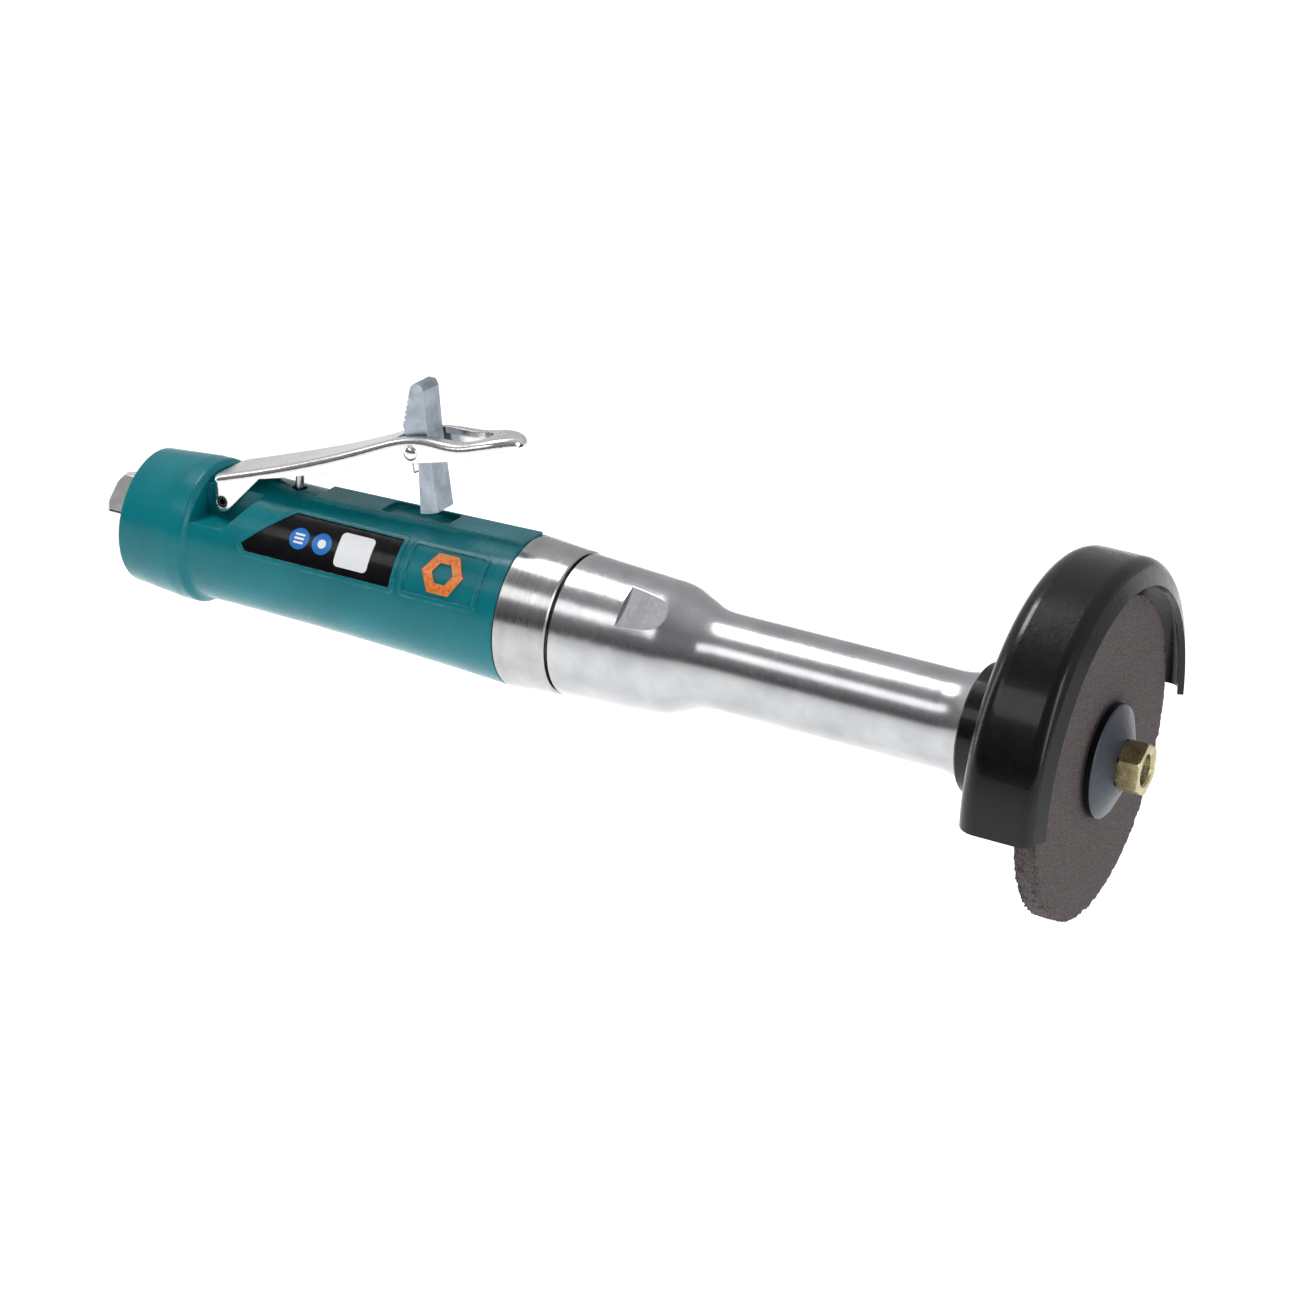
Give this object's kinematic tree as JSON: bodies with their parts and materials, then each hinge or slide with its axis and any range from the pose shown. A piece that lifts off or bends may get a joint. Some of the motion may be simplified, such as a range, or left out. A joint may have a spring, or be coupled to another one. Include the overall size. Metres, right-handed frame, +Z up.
{
  "type": "die grinder",
  "caption": "Extended pneumatic die grinder with a lock-off throttle lever, a long spindle housing, a half guard and a bonded cut-off wheel.",
  "frame": {"origin": "centre of the air inlet's mouth", "axes": "+X along the tool from the inlet to the wheel, +Z up through the throttle lever, -Y the side with the label"},
  "size_m": [0.3659, 0.1239, 0.1193],
  "materials": {
    "teal_paint": "glossy teal paint on cast aluminium",
    "label_black": "black printed label",
    "emblem_orange": "orange enamel",
    "nickel": "polished nickel plate",
    "zinc_cast": "satin zinc die casting",
    "turned_steel": "finely turned satin steel",
    "satin_steel": "satin steel",
    "dark_steel": "dark oiled steel",
    "black_coat": "semi-gloss black powder coat",
    "abrasive": "coarse bonded abrasive",
    "blue_oxide": "dark bluish oxide",
    "yellow_zinc": "yellow zinc plate",
    "bearing_steel": "ground bearing steel",
    "bearing_brass": "pressed brass",
    "rubber": "nitrile rubber",
    "felt": "grey felt",
    "paper": "dark blotting paper",
    "cast_iron": "ground cast iron",
    "aluminium": "machined aluminium",
    "composite": "phenolic composite"
  },
  "bodies": {
    "housing": {"rear_housing": "teal_paint", "nameplate": "label_black", "badge_emblem": "emblem_orange", "inlet_bushing": "nickel", "inlet_o_ring": "rubber", "inlet_screen": "satin_steel", "exhaust_plate": "dark_steel", "muffler_felt": "felt", "valve_seal": "rubber", "valve_spring": "satin_steel", "stem_o_rings": "rubber", "lever_pivot_pin": "dark_steel", "rear_bearing_plate": "cast_iron", "cylinder": "cast_iron", "front_bearing_plate": "cast_iron", "clamp_washer": "satin_steel", "locating_pin": "satin_steel", "lock_ring": "turned_steel", "extension_housing": "satin_steel", "spindle_seal": "rubber", "retaining_ring": "dark_steel", "guard_collar": "black_coat", "guard": "black_coat", "guard_lock_ring": "dark_steel", "rotor_rear_bearing_outer_ring": "bearing_steel", "rotor_front_bearing_outer_ring": "bearing_steel", "spindle_rear_bearing_outer_ring": "bearing_steel", "spindle_front_bearing_outer_ring": "bearing_steel"},
    "drive": {"rotor": "satin_steel", "rotor_blades": "composite", "coupling": "dark_steel", "spindle": "satin_steel", "inner_flange": "blue_oxide", "blotters": "paper", "cutoff_wheel": "abrasive", "outer_flange": "blue_oxide", "spindle_nut": "yellow_zinc", "rotor_rear_bearing_inner_ring": "bearing_steel", "rotor_front_bearing_inner_ring": "bearing_steel", "spindle_rear_bearing_inner_ring": "bearing_steel", "spindle_front_bearing_inner_ring": "bearing_steel"},
    "lever": {"throttle_lever": "nickel", "lock_off_pin": "nickel"},
    "lock_off": {"lock_off_lever": "zinc_cast", "lock_off_spring": "satin_steel"},
    "stem": {"valve_stem": "satin_steel"},
    "valve": {"tip_valve": "satin_steel"},
    "rotor_rear_balls": {"rotor_rear_bearing_balls": "bearing_steel", "rotor_rear_bearing_cage": "bearing_brass"},
    "rotor_front_balls": {"rotor_front_bearing_balls": "bearing_steel", "rotor_front_bearing_cage": "bearing_brass"},
    "spindle_rear_balls": {"spindle_rear_bearing_balls": "bearing_steel", "spindle_rear_bearing_cage": "bearing_brass"},
    "spindle_front_balls": {"spindle_front_bearing_balls": "bearing_steel", "spindle_front_bearing_cage": "bearing_brass"}
  },
  "joints": [
    {"name": "spindle_spin", "type": "hinge", "parent": "housing", "child": "drive", "pos_m": [0, 0, 0], "axis": [1, 0, 0], "continuous": true},
    {"name": "throttle_press", "type": "hinge", "parent": "housing", "child": "lever", "pos_m": [0.0445, 0, 0.0152], "axis": [0, 1, 0], "range_deg": [0, 6.2], "stiffness_Nm_per_rad": 1.2, "springref_deg": -6.88},
    {"name": "lock_off_swing", "type": "hinge", "parent": "lever", "child": "lock_off", "pos_m": [0.1137, 0, 0.047], "axis": [0, 1, 0], "range_deg": [0, 80.08]},
    {"name": "stem_travel", "type": "slide", "parent": "housing", "child": "stem", "axis": [0, 0, -1], "range_m": [0, 0.0029]},
    {"name": "valve_tilt", "type": "hinge", "parent": "housing", "child": "valve", "pos_m": [0.0365, 0, 0.0065], "axis": [0, 1, 0], "range_deg": [0, 5.38]},
    {"name": "rotor_rear_balls_roll", "type": "hinge", "parent": "housing", "child": "rotor_rear_balls", "pos_m": [0, 0, 0], "axis": [1, 0, 0], "continuous": true},
    {"name": "rotor_front_balls_roll", "type": "hinge", "parent": "housing", "child": "rotor_front_balls", "pos_m": [0, 0, 0], "axis": [1, 0, 0], "continuous": true},
    {"name": "spindle_rear_balls_roll", "type": "hinge", "parent": "housing", "child": "spindle_rear_balls", "pos_m": [0, 0, 0], "axis": [1, 0, 0], "continuous": true},
    {"name": "spindle_front_balls_roll", "type": "hinge", "parent": "housing", "child": "spindle_front_balls", "pos_m": [0, 0, 0], "axis": [1, 0, 0], "continuous": true}
  ],
  "couplings": [
    {"joint": "lock_off_swing", "follows": "throttle_press", "ratio": 12.9},
    {"joint": "stem_travel", "follows": "throttle_press", "m_per_rad": 0.026338},
    {"joint": "valve_tilt", "follows": "throttle_press", "ratio": 0.85235},
    {"joint": "rotor_rear_balls_roll", "follows": "spindle_spin", "ratio": 0.3492},
    {"joint": "rotor_front_balls_roll", "follows": "spindle_spin", "ratio": 0.3647},
    {"joint": "spindle_rear_balls_roll", "follows": "spindle_spin", "ratio": 0.3647},
    {"joint": "spindle_front_balls_roll", "follows": "spindle_spin", "ratio": 0.3711}
  ]
}
